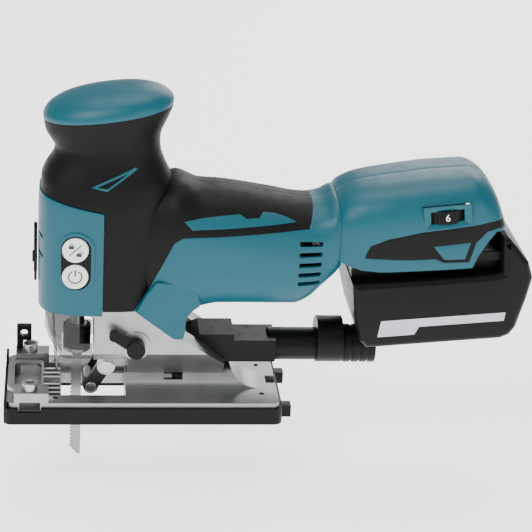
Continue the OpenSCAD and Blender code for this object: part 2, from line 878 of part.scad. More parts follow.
module saw_blade() {
    x0 = -blade_w / 2 - 0.4;
    x1 = x0 + blade_w;
    pitch = 2.5;
    teeth = floor((blade_reach + 27 - 8) / pitch);
    color("#b9bcbd") side_profile(concat(
        [for (k = [0:teeth - 1]) each [[x0, -blade_reach + 6 + pitch * k], [x0 + 1.4,
            -blade_reach + 6.6 + pitch * k]]],
        [[x0 + 1.4, 30], [-4, 34], [-4, 48], [-2, 49.5], [2, 49.5], [4, 48], [4, 34], [x1, 30], [x1,
            -blade_reach],
            [x1 - 2, -blade_reach]]), [-blade_t / 2, blade_t / 2]);
}

module counterweight() {
    half = crank_r + crank_pin_d / 2 + 0.8;
    tall = crank_r + crank_pin_d / 2 + stroke / 4 + 0.6;
    color("#85898c") difference() {
        mid_box(weight_x, half + 3, [crank_z - tall - 3.5, crank_z + tall + 3.5]);
        mid_box(weight_x + [-1, 1], half, [crank_z - tall, crank_z + tall]);
    }
}

// A wheel with straight teeth, its axis along X
module toothed_wheel(x, z, r, teeth) {
    step = 360 / teeth;
    translate([x[0], 0, z]) rotate([90, 0, 90]) linear_extrude(x[1] - x[0]) polygon([for (k = [0:teeth - 1])
        for (q = [[0.1, -1.1], [0.35, 0], [0.65, 0], [0.9, -1.1]]) let (a = step * (k + q[0]), d = r + q[1])
            [d * cos(a), d * sin(a)]]);
}

module crank_gear() {
    color("#74787b") {
        toothed_wheel(gear_x, crank_z, gear_r, 40);
        bar_x([gear_x[1] - 1, 44.5], 0, crank_z, gear_shaft_r);
        bar_x([yoke_x[1] + 0.6, gear_x[0] + 1], 0, crank_z + crank_r, crank_pin_d / 2);
    }
}

module rotor() {
    color("#7b7f82") {
        bar_x([gear_x[1], 152], 0, motor_z, rotor_shaft_r);
        toothed_wheel([20.5, gear_x[1] + 1], motor_z, pinion_r, 10);
        bar_x(rotor_x + [-2, 2], 0, motor_z, 14.8);
    }
}

module motor_fan() {
    color("#26282a") difference() {
        union() {
            bar_x([fan_x[0], fan_x[0] + 1.6], 0, motor_z, 24.5);
            bar_x(fan_x, 0, motor_z, 7);
            for (k = [0:8]) translate([0, 0, motor_z]) rotate([40 * k, 0, 0])
                box([fan_x[0], -0.7, 6], [fan_x[1], 0.7, 24]);
        }
        bar_x(fan_x + [-1, 1], 0, motor_z, rotor_shaft_r);
    }
}

lever_angle = atan2(60.6 - cam[1], 19.1 - cam[0]);

module orbital_lever() {
    y_out = -plate_y - 8.6;
    y_in = -plate_y - 1.5;
    // The arm passes outside the shell's leg
    y_arm = -plate_y - 3.9;
    color("#1b1d1f") {
        bar_y(cam[0], [y_out, y_in], cam[1], 5.6);
        translate([cam[0], 0, cam[1]]) rotate([0, -lever_angle, 0]) {
            box([0, y_out + 1.2, -2.9], [16, y_arm, 2.9]);
            bar_y(16, [y_out, y_arm], 0, 3.1);
        }
        difference() {
            bar_y(cam[0], [y_in, 20], cam[1], cam_r);
            box([cam[0] - 9, -6, cam[1] - 9], [cam[0] - 1.5, 6, cam[1] + 9]);
        }
    }
}

module roller_lever() {
    color("#1b1d1f") difference() {
        union() {
            for (s = [-1, 1]) {
                y = s > 0 ? lever_y : [-lever_y[1], -lever_y[0]];
                bar_y(pivot[0], y, pivot[1], 5);
                bar_y(roller_x, y, roller_z, 4.6);
                side_profile([[roller_x - 3.6, roller_z + 2], [pivot[0] - 4, pivot[1] + 2],
                    [pivot[0] + 4, pivot[1] - 2],
                    [roller_x + 3.6, roller_z - 2]], y);
            }
            bar_y(pivot[0], [-lever_y[0], lever_y[0]], pivot[1], 5);
        }
        bar_y(pivot[0], [-30, 30], pivot[1], 2.5 + fit);
        bar_y(roller_x, [-30, 30], roller_z, 2);
    }
}

module roller_pin() {
    color("#c9cccd") {
        bar_y(roller_x, [-lever_y[1] - 0.5, lever_y[1] + 0.5], roller_z, 2);
        for (s = [-1, 1]) bar_y(roller_x, s > 0 ? [lever_y[1], lever_y[1] + 1.5] : [-lever_y[1] - 1.5,
            -lever_y[1]],
            roller_z, 3.5);
    }
}

module guide_roller() {
    color("#a7abad") difference() {
        translate([roller_x, 0, roller_z]) rotate([-90, 0, 0]) rotate_extrude() polygon([[2 + fit, -8],
            [roller_r, -8],
            [roller_r, -1.6], [roller_r - 0.2, -1], [roller_r - 0.2, 1], [roller_r, 1.6], [roller_r, 8],
                [2 + fit, 8]]);
    }
}

module release_lever() {
    color("#1b1d1f") {
        box([-26.2, -9, 84], [-24.6, hinge_front[1], 112]);
        bar_z(hinge_front[0], hinge_front[1], [82, 114], 1.1);
        box([-27.4, -9, 96], [-26.2, -5, 102]);
    }
}

module speed_dial() {
    color("#1b1d1f") on_rails() translate([dial_u, dial_y, dial_w - dial_t / 2]) difference() {
        cylinder(h = dial_t, r = dial_r);
        translate([0, 0, -1]) cylinder(h = dial_t + 2, r = 3);
        for (k = [0:29]) rotate([0, 0, 12 * k]) translate([dial_r + 0.3, 0, -1]) cylinder(h = dial_t + 2,
            r = 0.7, $fn = 16);
    }
}

// Plan outline of the guard: its front corners follow the nose that it slides into
module guard_plan(inset) {
    translate([14, 0, 30]) linear_extrude(45)
        polygon(ring(34.6 - inset, head_half - 3.4 - inset, 3.2));
}

module dust_cover() {
    outer = [[-19.6, 68], [-19.6, 56], [-10.6, 38], [-6.5, 36], [9.5, 36], [9.5, 46], [1.5, 46], [1.5, 68]];
    inner = [[-18.1, 70], [-18.1, 56.5], [-9.2, 38.4], [-9.2, 30], [12, 30], [12, 70]];
    color("#5a5f66") difference() {
        intersection() {
            side_profile(outer, [-guard_half, guard_half]);
            guard_plan(0);
        }
        intersection() {
            side_profile(inner, [guard_wall - guard_half, guard_half - guard_wall]);
            guard_plan(guard_wall);
        }
        mid_box([-30, 0], 2.5, [30, 61]);
    }
}

// ---------- battery ----------

module battery_profile(z, y) {
    intersection() {
        side_profile([[0, 0], [5.5, -batt_h + 2], [8, -batt_h], [batt_len - 17, -batt_h], [batt_len - 12,
            -batt_h + 3],
            [batt_len, -6], [batt_len, -2], [batt_len - 4, 8], [93, 25.5], [91, 24.5], [91, 0]], y);
        box([-10, -60, z[0]], [batt_len + 10, 60, z[1]]);
    }
}

// Top of the two rows of cells
cells_top = -batt_h + 2.5 + 2 * cell_d;

module battery_case_lower() {
    color("#1b1c1e") on_rails() difference() {
        intersection() {
            battery_profile([-batt_h, -8], [-batt_w / 2, batt_w / 2]);
            rounded_plate([-1, batt_len + 1], batt_w / 2, [-60, 60], 7);
        }
        intersection() {
            side_profile([[4.2, 10], [5.4, 2 - batt_h], [batt_len - 17.6, 2 - batt_h], [batt_len - 13,
                4.2 - batt_h],
                [batt_len - 1.8, -6.4], [batt_len - 1.8, 10]], [2 - batt_w / 2, batt_w / 2 - 2]);
            rounded_plate([4, batt_len - 2], batt_w / 2 - 2, [-60, 60], 5);
        }
    }
}

module battery_case_upper() {
    color("#1b1c1e") on_rails() difference() {
        union() {
            intersection() {
                battery_profile([-8, 40], [-batt_w / 2, batt_w / 2]);
                rounded_plate([-1, batt_len + 1], batt_w / 2, [-60, 60], 7);
            }
            mid_box([1, 92], neck_w / 2, [-1, rail_z[1]]);
            mid_box([1, 92], rail_w / 2, rail_z);
        }
        mid_box([6.5, batt_len - 12], cell_len / 2 + gap, [-9, max(-8.5, cells_top)]);
        for (y = blade_ys) box([-1, y - 1.6, 3], [34, y + 1.6, 20]);
        mid_box([94.5, batt_len + 5], 14.3, [2, 40]);
        for (s = [-1, 1]) box([91, s * 29 - 9, 18], [batt_len, s * 29 + 9, 40]);
    }
}

module battery_cells() {
    color("#3f79b8") on_rails() for (i = [0:4], k = [0:1])
        bar_y(6 + cell_d / 2 + i * (cell_d + 0.3), [-cell_len / 2, cell_len / 2],
            2.1 - batt_h + cell_d * (k + 0.5) + 0.1 * k, cell_d / 2);
}

module battery_terminals() {
    color("#c9a227") on_rails() for (y = blade_ys, s = [-1, 1])
        box([14, y + s * 1.3 - 0.3, 3], [30, y + s * 1.3 + 0.3, 9]);
}

module battery_button() {
    color("#2c2e30") on_rails() side_profile([[95, 22.5], [95, 8], [105, 8], [105, 9.2]], [-14, 14]);
}

sole_cover();
base_plate();
fence_screws();
wrench_holder();
clamp_saddle();
base_bolt();
gear_housing();
lever_bracket();
plunger_bushes();
gear_bearings();
rear_bearing();
stator();
shell_left();
shell_right();
grip_left();
grip_right();
handle_cap();
front_cover();
switch_panel_left();
switch_panel_right();
rear_trim_left();
rear_trim_right();
shell_screws();
wire_guard();
lamp();
dust_duct();
dust_nozzle();
controller_board();
terminal_block();
plunger();
blade_clamp();
saw_blade();
clamp_collar();
counterweight();
crank_gear();
rotor();
motor_fan();
orbital_lever();
roller_lever();
roller_pin();
guide_roller();
release_lever();
lock_button_left();
power_button_left();
lock_button_right();
power_button_right();
speed_dial();
dust_cover();
battery_case_lower();
battery_case_upper();
battery_cells();
battery_terminals();
battery_button();
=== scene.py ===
import json
import math
import bmesh
import bpy
import numpy as np
from mathutils import Matrix, Vector


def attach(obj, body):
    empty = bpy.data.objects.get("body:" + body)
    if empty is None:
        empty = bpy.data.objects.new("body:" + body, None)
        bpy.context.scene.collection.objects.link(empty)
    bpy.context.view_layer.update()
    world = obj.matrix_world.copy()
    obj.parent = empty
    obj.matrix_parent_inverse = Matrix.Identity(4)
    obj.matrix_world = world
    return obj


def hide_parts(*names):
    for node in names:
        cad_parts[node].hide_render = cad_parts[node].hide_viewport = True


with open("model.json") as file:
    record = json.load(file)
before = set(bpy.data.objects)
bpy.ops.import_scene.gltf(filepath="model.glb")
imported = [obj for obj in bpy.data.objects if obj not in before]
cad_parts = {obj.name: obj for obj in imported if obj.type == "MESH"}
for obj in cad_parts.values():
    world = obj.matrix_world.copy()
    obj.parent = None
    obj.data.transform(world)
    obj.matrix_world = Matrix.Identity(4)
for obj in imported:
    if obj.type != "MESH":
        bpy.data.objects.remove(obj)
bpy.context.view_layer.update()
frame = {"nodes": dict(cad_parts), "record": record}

MM = 0.001

# ---- Camera ----
# A long lens set above and in front of the tool's left side, turned a little about its own axis.
turn = math.radians(7)
roll = math.radians(3.3)
sight = Vector((0.1122, 0.9136, -0.3907)).normalized()
right = Vector((math.cos(turn), -math.sin(turn), 0))
above = right.cross(sight)
side_axis = math.cos(roll) * right + math.sin(roll) * above
up_axis = -math.sin(roll) * right + math.cos(roll) * above
camera = bpy.data.objects.new("camera", bpy.data.cameras.new("camera"))
camera.data.lens = 125.9
camera.data.sensor_width = 36
camera.data.clip_start = 0.05
camera.matrix_world = Matrix.Translation((-0.0132, -1.0405, 0.5358)) @ Matrix(
    (side_axis, up_axis, -sight)).transposed().to_4x4()
bpy.context.scene.collection.objects.link(camera)
bpy.context.scene.camera = camera


# ---- Materials ----
# Every finish is a Principled surface with grain, scuffs and small colour changes from noise.
class Value:
    """A number socket that does arithmetic."""

    def __init__(self, shade, socket):
        self.shade = shade
        self.socket = socket

    def _do(self, operation, a, b):
        return self.shade.node("Math", {0: a, 1: b}, operation=operation)

    def __mul__(self, other):
        return self._do("MULTIPLY", self, other)

    __rmul__ = __mul__

    def __add__(self, other):
        return self._do("ADD", self, other)

    __radd__ = __add__

    def __sub__(self, other):
        return self._do("SUBTRACT", self, other)

    def __rsub__(self, other):
        return self._do("SUBTRACT", other, self)


class Shade:
    """One material's node tree."""

    def __init__(self, name):
        self.material = bpy.data.materials.new(name)
        self.material.use_nodes = True
        self.nodes = self.material.node_tree.nodes
        self.surface = self.nodes["Principled BSDF"]
        self.place = self.node("TexCoord", {}, output="Object")

    def node(self, kind, inputs, output=0, **settings):
        made = self.nodes.new("ShaderNode" + kind)
        for key, value in settings.items():
            setattr(made, key, value)
        for key, value in inputs.items():
            self.feed(made.inputs[key], value)
        return Value(self, made.outputs[output])

    def feed(self, socket, value):
        if isinstance(value, Value):
            self.material.node_tree.links.new(value.socket, socket)
        else:
            socket.default_value = value

    def noise(self, size, detail=2.0, stretch=(1, 1, 1)):
        scaled = self.node("Mapping", {"Vector": self.place, "Scale": stretch})
        return self.node("TexNoise", {"Vector": scaled, "Scale": 1 / (size * MM), "Detail": detail}, "Fac")

    def blend(self, share, a, b):
        return self.node("Mix", {"Factor": share, 6: (*a, 1), 7: (*b, 1)}, 2, data_type="RGBA")

    def set(self, **values):
        for key, value in values.items():
            self.feed(self.surface.inputs[key.replace("_", " ").title()], value)


def moulded(name, colour, roughness, grain, depth, shift=0.12, gloss=0.5):
    """Moulded plastic or rubber: texture from the mould, faint blotches, a few duller scuffs."""
    shade = Shade(name)
    blotch = shade.noise(22, 3)
    scuff = shade.node("MapRange", {"Value": shade.noise(6, 6, (1, 1, 2.5)), "From Min": 0.52, "From Max": 0.74})
    dark = tuple(c * (1 - shift) for c in colour)
    light = tuple(min(1, c * (1 + shift) + 0.002) for c in colour)
    fine = shade.noise(grain, 2)
    shade.set(base_color=shade.blend(blotch, dark, light), roughness=roughness + 0.12 * scuff + 0.06 * (fine - 0.5))
    shade.surface.inputs["Specular IOR Level"].default_value = gloss
    shade.set(normal=shade.node("Bump", {"Strength": 0.35, "Distance": depth * MM, "Height": fine}))
    return shade


def metal(name, colour, roughness, grain, depth, stretch=(1, 1, 1), metallic=1.0):
    """Bare metal: grain along its working direction, smudges and small bright rubs."""
    shade = Shade(name)
    fine = shade.noise(grain, 4, stretch)
    smudge = shade.noise(14, 4)
    shade.set(base_color=shade.blend(smudge, tuple(c * 0.82 for c in colour), tuple(min(1, c * 1.1) for c in colour)),
              metallic=metallic, roughness=roughness + 0.16 * (smudge - 0.5) + 0.12 * (fine - 0.5))
    shade.set(normal=shade.node("Bump", {"Strength": 0.4, "Distance": depth * MM, "Height": fine}))
    return shade


finish = {
    "teal_plastic": moulded("teal_plastic", (0.001, 0.078, 0.108), 0.4, 0.35, 0.05, 0.06, 0.3),
    "elastomer": moulded("elastomer", (0.002, 0.002, 0.0023), 0.5, 0.45, 0.09, gloss=0.14),
    "black_plastic": moulded("black_plastic", (0.0016, 0.0017, 0.0019), 0.38, 0.4, 0.05, gloss=0.14),
    "white_plastic": moulded("white_plastic", (0.78, 0.79, 0.79), 0.32, 0.5, 0.02, 0.03),
    "grey_plastic": moulded("grey_plastic", (0.035, 0.036, 0.04), 0.42, 0.4, 0.05),
    "cell_wrap": moulded("cell_wrap", (0.05, 0.2, 0.5), 0.3, 1.5, 0.02),
    "circuit_board": moulded("circuit_board", (0.02, 0.16, 0.06), 0.35, 1.2, 0.03),
    "cast_aluminium": metal("cast_aluminium", (0.33, 0.335, 0.34), 0.4, 0.7, 0.07),
    "bright_steel": metal("bright_steel", (0.45, 0.45, 0.455), 0.3, 0.5, 0.02, (0.3, 1, 2)),
    "blackened_steel": metal("blackened_steel", (0.03, 0.03, 0.033), 0.42, 0.5, 0.03, metallic=0.8),
    "blade_steel": metal("blade_steel", (0.3, 0.3, 0.31), 0.36, 0.35, 0.02, (1, 1, 0.15)),
    "bronze": metal("bronze", (0.5, 0.33, 0.16), 0.4, 0.6, 0.03),
    "copper": metal("copper", (0.6, 0.26, 0.12), 0.38, 0.6, 0.04, (0.1, 1, 1)),
    "contact_metal": metal("contact_metal", (0.75, 0.58, 0.24), 0.26, 0.6, 0.01),
}
smoked = moulded("smoked_plastic", (0.012, 0.012, 0.014), 0.12, 3, 0.01)
smoked.set(alpha=0.5)
finish["smoked_plastic"] = smoked
clear = moulded("clear_plastic", (0.8, 0.82, 0.78), 0.08, 3, 0.01, 0.02)
clear.set(alpha=0.6)
finish["clear_plastic"] = clear
pale = moulded("pale_print", (0.5, 0.53, 0.58), 0.4, 0.5, 0.01, 0.05)
print_black = moulded("print_black", (0.012, 0.012, 0.013), 0.45, 0.5, 0.01, 0.05)

slot_of = {part["node"]: part["material_slot"] for part in frame["record"]["subparts"]}
body_of = {node: body for body, nodes in frame["record"]["behaviour"]["bodies"].items() for node in nodes}
for node, thing in frame["nodes"].items():
    thing.data.materials.clear()
    thing.data.materials.append(finish[slot_of[node]].material)


# ---- Housing ----
# Two glass-filled nylon half shells with an elastomer grip moulded over the upper part. They are
# joined on the mid-plane by screws from the right. Their outer form is three smooth lofts.
def stations_between(stations, key, step):
    """Adds stations by monotone cubic interpolation, about one step apart."""
    s = np.array(stations, float)
    t = s[:, key]
    d = np.diff(s, axis=0) / np.diff(t)[:, None]
    m = np.zeros_like(s)
    m[0], m[-1] = d[0], d[-1]
    same = d[:-1] * d[1:] > 0
    m[1:-1][same] = 2 * d[:-1][same] * d[1:][same] / (d[:-1][same] + d[1:][same])
    out = []
    for k in range(len(t) - 1):
        h = t[k + 1] - t[k]
        count = max(2, round(h / step))
        for i in range(count + (k == len(t) - 2)):
            u = i / count
            a, b = 2 * u ** 3 - 3 * u ** 2 + 1, u ** 3 - 2 * u ** 2 + u
            out.append(a * s[k] + b * h * m[k] + (1 - a) * s[k + 1] + (u ** 3 - u ** 2) * h * m[k + 1])
    return np.array(out)


def superellipse(a, b, e, n):
    t = np.linspace(0, 2 * math.pi, n, endpoint=False) + math.pi / n
    c, s = np.cos(t), np.sin(t)
    return np.stack([a * np.sign(c) * abs(c) ** (2 / e), b * np.sign(s) * abs(s) ** (2 / e)], 1)


def loft(rings, close=(False, False)):
    """A skin over rings of points in millimetres."""
    bm = bmesh.new()
    before = None
    for ring in rings:
        verts = [bm.verts.new(Vector(p) * MM) for p in ring]
        edges = [bm.edges.new((verts[i], verts[(i + 1) % len(verts)])) for i in range(len(verts))]
        if before:
            bmesh.ops.bridge_loops(bm, edges=before + edges)
        else:
            first = verts
        before = edges
    if close[0]:
        bm.faces.new(first)
    if close[1]:
        bm.faces.new(verts)
    bmesh.ops.recalc_face_normals(bm, faces=bm.faces)
    return bm


batt_tilt = math.radians(4.9)
batt_org = (162.6, 94.4)


def on_rails(u, w):
    """Place in X and Z of a point in the battery's frame, which is tilted."""
    return (batt_org[0] + u * math.cos(batt_tilt) - w * math.sin(batt_tilt),
            batt_org[1] + u * math.sin(batt_tilt) + w * math.cos(batt_tilt))


# x, z, half length, half width, tilt, roundness
grip_stations = [
    (14, 60, 37.2, 29, 0, 3.2), (14, 110, 37.4, 30, 0, 3.2), (15, 136, 38.3, 29.5, 0, 3), (16.4, 148, 38.8, 27.6, 0, 2.8),
    (15.8, 157, 35.4, 24.8, 1, 2.5), (16.2, 165, 31.8, 22.6, 3, 2.3), (16.5, 170.5, 31, 22, 5, 2.2),
    (16, 176, 32.8, 23.2, 7, 2.2), (16, 182, 36, 25, 8, 2.2), (16.8, 188.5, 38.2, 26.6, 9, 2.2), (16.6, 191.0, 38.4, 26.9, 9, 2.2)]
# x, bottom, top, half width, roundness
motor_stations = [
    (30, 76, 140, 24, 3), (42, 69, 144, 27, 3), (58, 66.5, 150.5, 31.5, 2.8), (72, 68.5, 145.5, 33.1, 2.6), (85, 71.2, 144.7, 34, 2.5),
    (114, 71.2, 140.5, 34.5, 2.4), (130, 71.2, 137.6, 34, 2.4), (138, 75, 137, 33, 2.5), (146, 84, 138, 31.5, 2.8),
    (153, 92, 141, 31.1, 3), (160, 101, 137, 25.5, 3.2)]
rear_stations = [
    (-12, 6, 38, 25.5, 3), (-1, -8, 50.5, 32.5, 3.2), (10, -13, 53.8, 34.5, 3.5), (28, -14, 55.6, 36.1, 3.6), (58, -14, 57.4, 36.5, 3.6),
    (76, -14, 57.4, 35.9, 3.5), (84, -13, 53.6, 35.1, 3.3), (90, -10, 46.5, 33.3, 3.2), (93.6, -4, 37, 30.5, 3)]
grip_form = stations_between(grip_stations, 1, 2.0)
motor_form = stations_between(motor_stations, 0, 2.0)
rear_form = stations_between(rear_stations, 0, 2.0)


def grip_ring(s, grow=0.0, n=144):
    c, k = math.cos(math.radians(s[4])), math.sin(math.radians(s[4]))
    return [(s[0] + p * c, q, s[1] + p * k) for p, q in superellipse(s[2] + grow, s[3] + grow, s[5], n)]


def barrel_ring(s, grow=0.0, n=144):
    return [(s[0], p, (s[1] + s[2]) / 2 + q) for p, q in superellipse(s[3] + grow, (s[2] - s[1]) / 2 + grow, s[4], n)]


def rear_ring(s, grow=0.0, n=144):
    out = []
    for x, y, z in barrel_ring(s, grow, n):
        u, w = on_rails(x, z)
        out.append((u, y, w))
    return out


def in_barrel(x, y, z, form, margin):
    if not form[0][0] < x < form[-1][0]:
        return False
    b, t, h, e = (np.interp(x, form[:, 0], form[:, k]) for k in (1, 2, 3, 4))
    return (abs(y) / (h - margin)) ** e + (abs(z - (b + t) / 2) / ((t - b) / 2 - margin)) ** e < 1


def in_grip(x, y, z, margin):
    if not 60 < z < 150:
        return False
    c, a, b, e = (np.interp(z, grip_form[:, 1], grip_form[:, k]) for k in (0, 2, 3, 5))
    return (abs(x - c) / (a - margin)) ** e + (abs(y) / (b - margin)) ** e < 1


def in_rear(x, y, z, margin):
    c, k = math.cos(batt_tilt), math.sin(batt_tilt)
    u, w = (x - batt_org[0]) * c + (z - batt_org[1]) * k, -(x - batt_org[0]) * k + (z - batt_org[1]) * c
    return in_barrel(u, y, w, rear_form, margin)


def in_outline(x, z, outline):
    inside = False
    for (x0, z0), (x1, z1) in zip(outline, outline[1:] + outline[:1]):
        if (z0 > z) != (z1 > z) and x < (x1 - x0) * (z - z0) / (z1 - z0) + x0:
            inside = not inside
    return inside


def score(bm, outline):
    """Cuts the skin's faces along an outline in X and Z, without opening it."""
    for (x0, z0), (x1, z1) in zip(outline, outline[1:] + outline[:1]):
        lo = (min(x0, x1) - 4, min(z0, z1) - 4)
        hi = (max(x0, x1) + 4, max(z0, z1) + 4)
        near = [f for f in bm.faces if lo[0] < f.calc_center_median().x / MM < hi[0]
                and lo[1] < f.calc_center_median().z / MM < hi[1]]
        geom = near + list({e for f in near for e in f.edges}) + list({v for f in near for v in f.verts})
        bmesh.ops.bisect_plane(bm, geom=geom, dist=1e-6, plane_co=(x0 * MM, 0, z0 * MM),
                               plane_no=(z1 - z0, 0, x0 - x1))


def keep(bm, wanted):
    """Drops the faces whose middle isn't wanted."""
    gone = []
    for f in bm.faces:
        c = f.calc_center_median() / MM
        if not wanted(c.x, c.y, c.z):
            gone.append(f)
    bmesh.ops.delete(bm, geom=gone, context="FACES")


def piece(name, bm, shade, body, node=None, thickness=None, bevel=None, angle=40, also=()):
    """Makes a mesh a finished piece that rides on a body and may stand for a node."""
    mesh = bpy.data.meshes.new(name)
    for f in bm.faces:
        f.smooth = True
    bm.to_mesh(mesh)
    bm.free()
    thing = bpy.data.objects.new(name, mesh)
    bpy.context.scene.collection.objects.link(thing)
    mesh.materials.append(shade.material)
    if thickness:
        wall = thing.modifiers.new("wall", "SOLIDIFY")
        wall.thickness = thickness * MM
        wall.offset = -1
    if bevel:
        edge = thing.modifiers.new("edge", "BEVEL")
        edge.width = bevel * MM
        edge.segments = 2
        edge.limit_method = "ANGLE"
        edge.angle_limit = math.radians(angle)
    mesh.set_sharp_from_angle(angle=math.radians(angle))
    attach(thing, body)
    if node:
        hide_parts(node, *also)
    return thing


def joined(parts):
    """One bmesh from several."""
    whole = bmesh.new()
    for part in parts:
        mesh = bpy.data.meshes.new("part")
        part.to_mesh(mesh)
        part.free()
        whole.from_mesh(mesh)
        bpy.data.meshes.remove(mesh)
    return whole


black_area = [(14.8, 72.4), (33, 72.4), (42.3, 87), (56, 117.8), (61, 121.2), (136, 126.5), (141.6, 143.8), (142.5, 165), (80, 215),
              (-40, 215), (-40, 146), (-14, 141.3), (14.8, 135.3)]
front_outline = [(-40, 69.8), (-40, 145.6), (-14, 140.9), (14.5, 134.9), (14.5, 69.8)]
trim_outline = [(169.3, 110.9), (170.3, 115), (172.3, 119.1), (182.4, 123.9), (202.8, 128.9), (234.7, 133.6), (243, 135.4), (300, 140),
                (300, 131), (247.9, 131), (241.6, 129.4), (235.4, 122.4), (232.1, 109.8), (216.7, 109.4), (211.6, 111.8),
                (196.3, 110.7)]
badge_outline = [(209.7, 119.7), (232.0, 122.5), (229.4, 111.9), (216.9, 111.5)]
bay_outline = [(140, 60), (140, 106.4), (156.4, 106), (167.9, 102.8), (178.9, 102.2), (234.6, 105.9), (237.4, 113.8), (243, 123.4),
               (247.5, 129), (300, 129), (300, 60)]
dial_outline = [(201.5, 143.8), (230, 147), (232, 133.7), (203.7, 130.6)]
dial_window = [(206.6, 140.7), (226.4, 143.3), (227.3, 136), (207.5, 133.1)]
vents = [[(130.6, z - 1.4), (130.0, z), (130.6, z + 1.4), (143.6, z + 1.4), (144.3, z), (143.6, z - 1.4)] for z in
         (93.2, 99.2, 105.6, 112.1, 118.5)]
opening = [(-40, 30), (57.6, 30), (57.6, 54.8), (33.7, 72.4), (-40, 72.4)]


def grip_skin(grow=0.0):
    return loft([grip_ring(s, grow) for s in grip_form])


def motor_skin(grow=0.0):
    return loft([barrel_ring(s, grow) for s in motor_form])


def rear_skin(grow=0.0):
    return loft([rear_ring(s, grow) for s in rear_form], (False, True))


def prism(outline, y, frame_at=None):
    """A block with an outline in X and Z between two places across the tool."""
    bm = bmesh.new()
    points = [frame_at(*p) for p in outline] if frame_at else outline
    face = bm.faces.new([bm.verts.new((x * MM, y[0] * MM, z * MM)) for x, z in points])
    grown = bmesh.ops.extrude_face_region(bm, geom=[face])["geom"]
    bmesh.ops.translate(bm, verts=[v for v in grown if isinstance(v, bmesh.types.BMVert)], vec=(0, (y[1] - y[0]) * MM, 0))
    bmesh.ops.recalc_face_normals(bm, faces=bm.faces)
    return bm


for side, word in ((-1, "left"), (1, "right")):
    teal_parts = []
    black_parts = []
    for skin, hidden in ((grip_skin, lambda x, y, z: in_barrel(x, y, z, motor_form, 2.5)),
                         (motor_skin, lambda x, y, z: in_grip(x, y, z, 2.5) or in_rear(x, y, z, 2.5)),
                         (rear_skin, lambda x, y, z: in_barrel(x, y, z, motor_form, 2.5))):
        for black, group in ((True, black_parts), (False, teal_parts)):
            bm = skin()
            bmesh.ops.bisect_plane(bm, geom=bm.verts[:] + bm.edges[:] + bm.faces[:], plane_co=(0, 0, 0), plane_no=(0, -side, 0),
                                   clear_outer=True)
            score(bm, black_area)
            score(bm, opening)
            if skin is motor_skin:
                for vent in vents:
                    score(bm, vent)
            if skin is rear_skin:
                score(bm, trim_outline)
                score(bm, bay_outline)
                score(bm, badge_outline)
                if side < 0:
                    score(bm, dial_outline)

            def wanted(x, y, z):
                if in_outline(x, z, black_area) != black or hidden(x, y, z):
                    return False
                if skin is grip_skin and not black and (in_outline(x, z, front_outline) or x < 14.8):
                    return False
                if skin is rear_skin and (in_outline(x, z, bay_outline) or black or (side < 0 and in_outline(x, z, dial_outline)) or
                                          (in_outline(x, z, trim_outline) and not in_outline(x, z, badge_outline))):
                    return False
                if skin is motor_skin and not black and any(in_outline(x, z, v) for v in vents):
                    return False
                return not in_outline(x, z, opening)
            keep(bm, wanted)
            group.append(bm)
    piece(f"housing_{word}", joined(teal_parts), finish["teal_plastic"], "tool", f"shell_{word}", 2.6, 0.35)
    piece(f"overmould_{word}", joined(black_parts), finish["elastomer"], "tool", f"grip_{word}", 1.6, 0.35)
    bm = rear_skin(0.0)
    bmesh.ops.bisect_plane(bm, geom=bm.verts[:] + bm.edges[:] + bm.faces[:], plane_co=(0, 0, 0), plane_no=(0, -side, 0),
                           clear_outer=True)
    score(bm, trim_outline)
    score(bm, badge_outline)
    keep(bm, lambda x, y, z: in_outline(x, z, trim_outline) and not in_outline(x, z, badge_outline) and abs(y) > 5)
    piece(f"rear_band_{word}", bm, finish["elastomer"], "tool", f"rear_trim_{word}", 1.6, 0.3)
    # The leg that reaches down over the gear housing
    leg = prism([(34.5, 72.4), (57.6, 54.8), (63.2, 54.8), (64.4, 60), (64.6, 66), (65.8, 70), (68.5, 73.5), (73, 77), (70, 92),
                 (46, 92), (40, 84)], (27.4 * side, 30.4 * side))
    piece(f"housing_leg_{word}", leg, finish["teal_plastic"], "tool", bevel=1.0)

# ---- Handle cap ----
# A teal moulding snapped on the top of the grip, with a rounded rim and a low dome.
cap_steps = [(-0.6, 0.985), (0.0, 1.0), (0.08, 1.004), (0.16, 1.0), (0.34, 0.965), (0.52, 0.9), (0.7, 0.78), (0.85, 0.6), (0.96, 0.34),
             (0.992, 0.17), (1, 0.05)]
cap_form = stations_between([(h, r) for h, r in cap_steps], 0, 0.03)
tilt = math.radians(9)
rings = []
for h, r in cap_form:
    up = h * 13.5 if h > 0 else h * 2
    rings.append([(16.8 + p * math.cos(tilt) - up * math.sin(tilt), q, 190.8 + p * math.sin(tilt) + up * math.cos(tilt))
                  for p, q in superellipse(38.5 * r, 27 * r, 2.2, 144)])
piece("cap", loft(rings, (True, True)), finish["teal_plastic"], "tool", "handle_cap")

# ---- Front cover ----
# A teal cover screwed over the gear housing's nose, with a window on each side for the switches.
window = [(-1.4 + 8.7 * math.sin(a), z + 8.7 * math.cos(a)) for z, start in ((112.5, -90), (95.6, 90))
          for a in (math.radians(start + k * 15) for k in range(13))]
bm = loft([grip_ring(s, 0.6) for s in grip_form if s[1] < 150])
score(bm, front_outline)
score(bm, window)
slots = [[(-26, 117.6 - 12.1 * k), (-26, 119.8 - 12.1 * k), (-16.5, 115.0 - 12.1 * k), (-16.5, 112.8 - 12.1 * k)] for k in (0, 1)]
for slot in slots:
    score(bm, slot)
keep(bm, lambda x, y, z: in_outline(x, z, front_outline) and not in_outline(x, z, window)
     and not (abs(y) < 19 and any(in_outline(x, z, s) for s in slots)))
piece("nose_cover", bm, finish["teal_plastic"], "tool", "front_cover", 2.2, 0.4)

